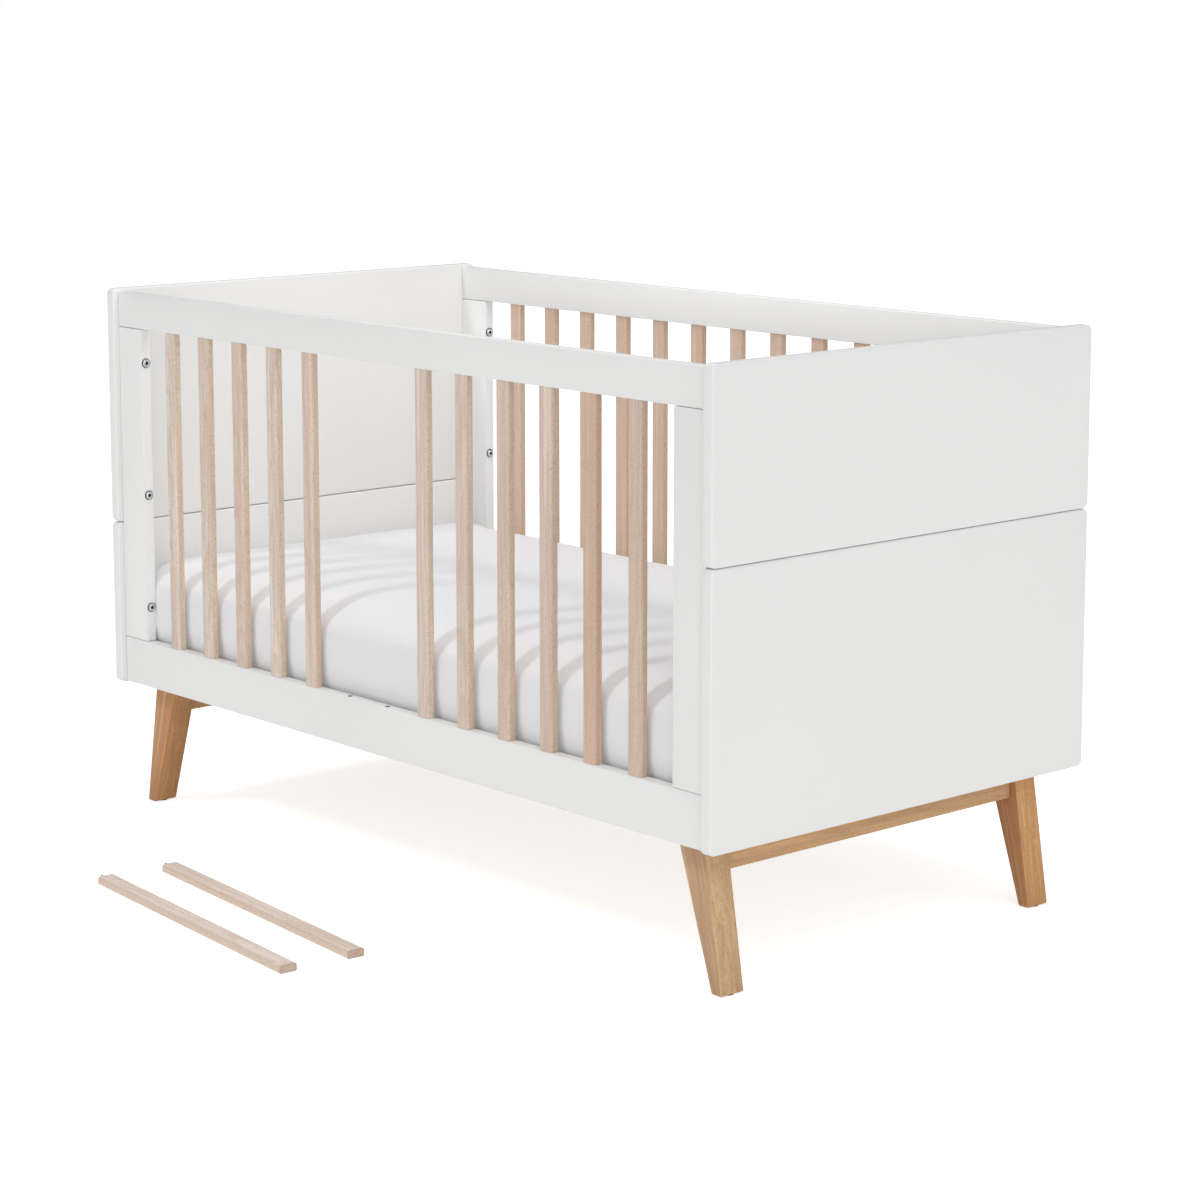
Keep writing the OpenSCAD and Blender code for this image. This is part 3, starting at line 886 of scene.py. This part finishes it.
def foam_block(low, high):
    """The mattress before it is filled: a block with rounded edges, smaller than its cover."""
    half = (high - low) / 2 - Vector((PAD_SLACK, PAD_SLACK, 0))
    middle = (low + high) / 2
    layers = []
    for step in range(PAD_EDGE_STEPS + 1):
        angle = math.radians(90 * step / PAD_EDGE_STEPS)
        rise, inset = 1 - math.sin(angle), 1 - math.cos(angle)
        layers.append((low.z + PAD_BOTTOM_R * rise, PAD_BOTTOM_R * inset))
        layers.append((high.z - PAD_SLACK - PAD_TOP_DROP * rise, PAD_TOP_INSET * inset))
    layers.sort()
    bm = bmesh.new()
    rings = []
    for z, inset in layers:
        corner_r = max(PAD_CORNER_R - inset, PAD_LEAST_R)
        loop = rounded_loop(half.x - inset, half.y - inset, corner_r, PAD_CORNER_STEPS)
        rings.append([bm.verts.new((middle.x + x, middle.y + y, z)) for x, y in loop])
    for lower, upper in zip(rings, rings[1:]):
        add_wall(bm, lower, upper)
    bm.faces.new(list(reversed(rings[0])))
    bm.faces.new(rings[-1])
    bmesh.ops.remove_doubles(bm, verts=bm.verts, dist=1e-6)
    return made_mesh("foam_block", bm)


def plumped(low, high):
    """The mattress filled by a cloth simulation, no point moved further than the cap."""
    obj = placed("plumped", foam_block(low, high))
    remesh = obj.modifiers.new("remesh", "REMESH")
    remesh.mode = "VOXEL"
    remesh.voxel_size = PAD_VOXEL
    mesh = applied(obj)
    start = [vert.co.copy() for vert in mesh.vertices]
    cloth = obj.modifiers.new("cloth", "CLOTH")
    cloth.settings.quality = 6
    cloth.settings.mass = 0.3
    cloth.settings.use_pressure = True
    cloth.settings.uniform_pressure_force = 4
    cloth.settings.tension_stiffness = 12
    cloth.settings.compression_stiffness = 12
    cloth.settings.bending_stiffness = 0.6
    cloth.settings.effector_weights.gravity = 0
    cloth.collision_settings.use_collision = False
    scene = bpy.context.scene
    for number in range(1, PAD_FRAMES + 1):
        scene.frame_set(number)
    mesh = applied(obj)
    scene.frame_set(1)
    for vert, first in zip(mesh.vertices, start):
        move = vert.co - first
        if move.length > PAD_CAP:
            vert.co = first + move * (PAD_CAP / move.length)
    return obj


def shaped_mattress():
    """The filled mattress: flat below, crowned above, a little higher along the front, with its sides
    swelling gently over the bottom rails."""
    low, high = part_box("mattress")
    rail_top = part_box("front_bottom_rail")[1].z
    obj = plumped(low, high)
    middle, half = (low + high) / 2, (high - low) / 2
    vertices = obj.data.vertices
    reach = [max(abs(vert.co[axis] - middle[axis]) for vert in vertices) for axis in (0, 1)]
    for vert in vertices:
        co = vert.co
        co.x = middle.x + (co.x - middle.x) * half.x / reach[0]
        across, along = (co.y - middle.y) / half.y, (co.x - middle.x) / half.x
        height = max(0.0, (co.z - middle.z) / half.z)
        dome = max(0.0, 1 - along**4) * max(0.0, 1 - across**2) * height
        uneven = PAD_UNEVEN * noise.noise(Vector((co.x * 5.0, co.y * 7.0, 0.3))) * height
        co.z += dome * (PAD_CROWN - PAD_FRONT_LIFT * across) + uneven
        co.z = max(co.z, low.z)
        over_rail = min(max((co.z - rail_top) / PAD_BULGE_RISE, 0.0), 1.0)
        co.y = middle.y + (co.y - middle.y) * (half.y + PAD_BULGE * over_rail) / reach[1]
    return obj


def soft_piece(name, mesh, material, node):
    """Makes the mesh into a smoothly shaded object that stands for a CAD node."""
    obj = placed(name, mesh)
    mesh.materials.clear()
    mesh.materials.append(material)
    for polygon in mesh.polygons:
        polygon.use_smooth = True
    stand_for(obj, node)
    return obj


def build_mattress(shaped):
    obj = soft_piece("mattress_pad", shaped.data.copy(), TICKING, "mattress")


def build_sheet(shaped):
    """Jersey laid over the mattress and round its lower edge, open below inside the hem."""
    low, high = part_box("mattress")
    half = (high - low) / 2
    bm = bmesh.new()
    bm.from_mesh(shaped.data)
    bm.normal_update()
    for vert, normal in [(v, v.normal.copy()) for v in bm.verts]:
        vert.co += normal * (SHEET_CLEAR + SHEET_T)
    inside = [
        face
        for face in bm.faces
        if face.normal.z < -0.7
        and abs(face.calc_center_median().x) < half.x - SHEET_HEM
        and abs(face.calc_center_median().y) < half.y - SHEET_HEM
    ]
    bmesh.ops.delete(bm, geom=inside, context="FACES")
    mesh = made_mesh("sheet_jersey", bm)
    obj = soft_piece("sheet_jersey", mesh, COTTON, "fitted_sheet")
    smoother = obj.modifiers.new("subdivide", "SUBSURF")
    smoother.levels = 1
    smoother.render_levels = 1
    solid = obj.modifiers.new("thickness", "SOLIDIFY")
    solid.thickness = SHEET_T
    solid.offset = -1


def build_soft_pieces():
    shaped = shaped_mattress()
    build_mattress(shaped)
    build_sheet(shaped)
    bpy.data.objects.remove(shaped)


build_soft_pieces()


# ---- Floor, light and camera ----


def white_floor():
    """White paper. It lights the crib a little from round about, but not from under it, and the
    camera sees it lighter than that, nearly as white as the backdrop."""
    g = Graph(
        "floor",
        Base_Color=(0.86, 0.86, 0.86, 1),
        Roughness=0.9,
        Specular_IOR_Level=0.1,
        Emission_Color=(1, 1, 1, 1),
    )
    low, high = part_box("front_bottom_rail")
    parts = g.node("SeparateXYZ", {0: g.place((1 / high.x, -1 / low.y, 1))}).outputs
    out = g.math("MAXIMUM", g.math("ABSOLUTE", parts[0]), g.math("ABSOLUTE", parts[1]))
    away = g.span(out, FLOOR_GLOW_FROM, FLOOR_GLOW_WHOLE, 0.0, FLOOR_GLOW)
    seen = g.node("LightPath").outputs["Is Camera Ray"]
    glow = g.node("Mix", {0: seen, 2: away, 3: FLOOR_SEEN_GLOW}).outputs[0]
    g.put(g.shader.inputs["Emission Strength"], glow)
    return g.material


def build_floor():
    bm = bmesh.new()
    bmesh.ops.create_grid(bm, x_segments=1, y_segments=1, size=FLOOR_REACH)
    floor = placed("floor", made_mesh("floor", bm))
    floor.location.z = -FLOOR_DROP
    floor.data.materials.append(white_floor())


def soft_sun(name, come_from, spread, power):
    """A broad sun shining from come_from towards the crib, spread degrees wide."""
    data = bpy.data.lights.new(name, "SUN")
    data.angle = math.radians(spread)
    data.energy = power
    lamp = placed(name, data)
    lamp.rotation_euler = (-Vector(come_from)).to_track_quat("-Z", "Y").to_euler()
    return lamp


def shine_past(lamp, pieces):
    """Keeps some pieces from casting this lamp's shadow, so that they don't stripe the mattress."""
    group = bpy.data.collections.new("no_shadow")
    for obj in pieces:
        group.objects.link(obj)
    for member in group.collection_objects:
        member.light_linking.link_state = "EXCLUDE"
    lamp.light_linking.blocker_collection = group


def softbox():
    """A flat lamp over the crib, shining straight down into it."""
    data = bpy.data.lights.new("softbox", "AREA")
    data.shape = "RECTANGLE"
    data.energy = SOFTBOX_POWER
    data.size, data.size_y = SOFTBOX_SIZE
    data.spread = SOFTBOX_SPREAD
    placed("softbox", data).location.z = SOFTBOX_HEIGHT


def build_backdrop():
    """An even white dome, which is seen as white but lights the crib less than that."""
    world = bpy.data.worlds.new("studio")
    bpy.context.scene.world = world
    world.use_nodes = True
    tree = world.node_tree
    dome = tree.nodes["Background"]
    dome.inputs["Color"].default_value = (1, 1, 1, 1)
    dome.inputs["Strength"].default_value = DOME_POWER
    backdrop = tree.nodes.new("ShaderNodeBackground")
    backdrop.inputs["Color"].default_value = (1, 1, 1, 1)
    backdrop.inputs["Strength"].default_value = 1.0
    path = tree.nodes.new("ShaderNodeLightPath")
    either = tree.nodes.new("ShaderNodeMixShader")
    tree.links.new(path.outputs["Is Camera Ray"], either.inputs[0])
    tree.links.new(dome.outputs[0], either.inputs[1])
    tree.links.new(backdrop.outputs[0], either.inputs[2])
    tree.links.new(either.outputs[0], tree.nodes["World Output"].inputs["Surface"])


def build_lamps():
    """A key from the front left, a broad fill from the right, a weak one from the front, and a
    softbox above."""
    soft_sun("key", (-0.3, -1.0, 1.2), 9, KEY_POWER)
    fill = soft_sun("fill", (2.0, -0.8, 1.0), 100, FILL_POWER)
    shine_past(fill, [frame["nodes"][f"front_slat_{i}"] for i in slat_numbers(FRONT)])
    soft_sun("front_fill", (0.2, -2.0, 0.6), 90, FRONT_POWER)
    softbox()


def build_camera():
    data = bpy.data.cameras.new("camera")
    data.sensor_width = 36
    data.lens = CAMERA_LENS
    data.shift_y = CAMERA_SHIFT
    camera = placed("camera", data)
    camera.location = CAMERA_PLACE
    camera.rotation_euler = (math.pi / 2 - CAMERA_TILT, 0, CAMERA_TURN)
    bpy.context.scene.camera = camera


build_floor()
build_backdrop()
build_lamps()
build_camera()
bpy.context.scene.view_settings.view_transform = "Standard"
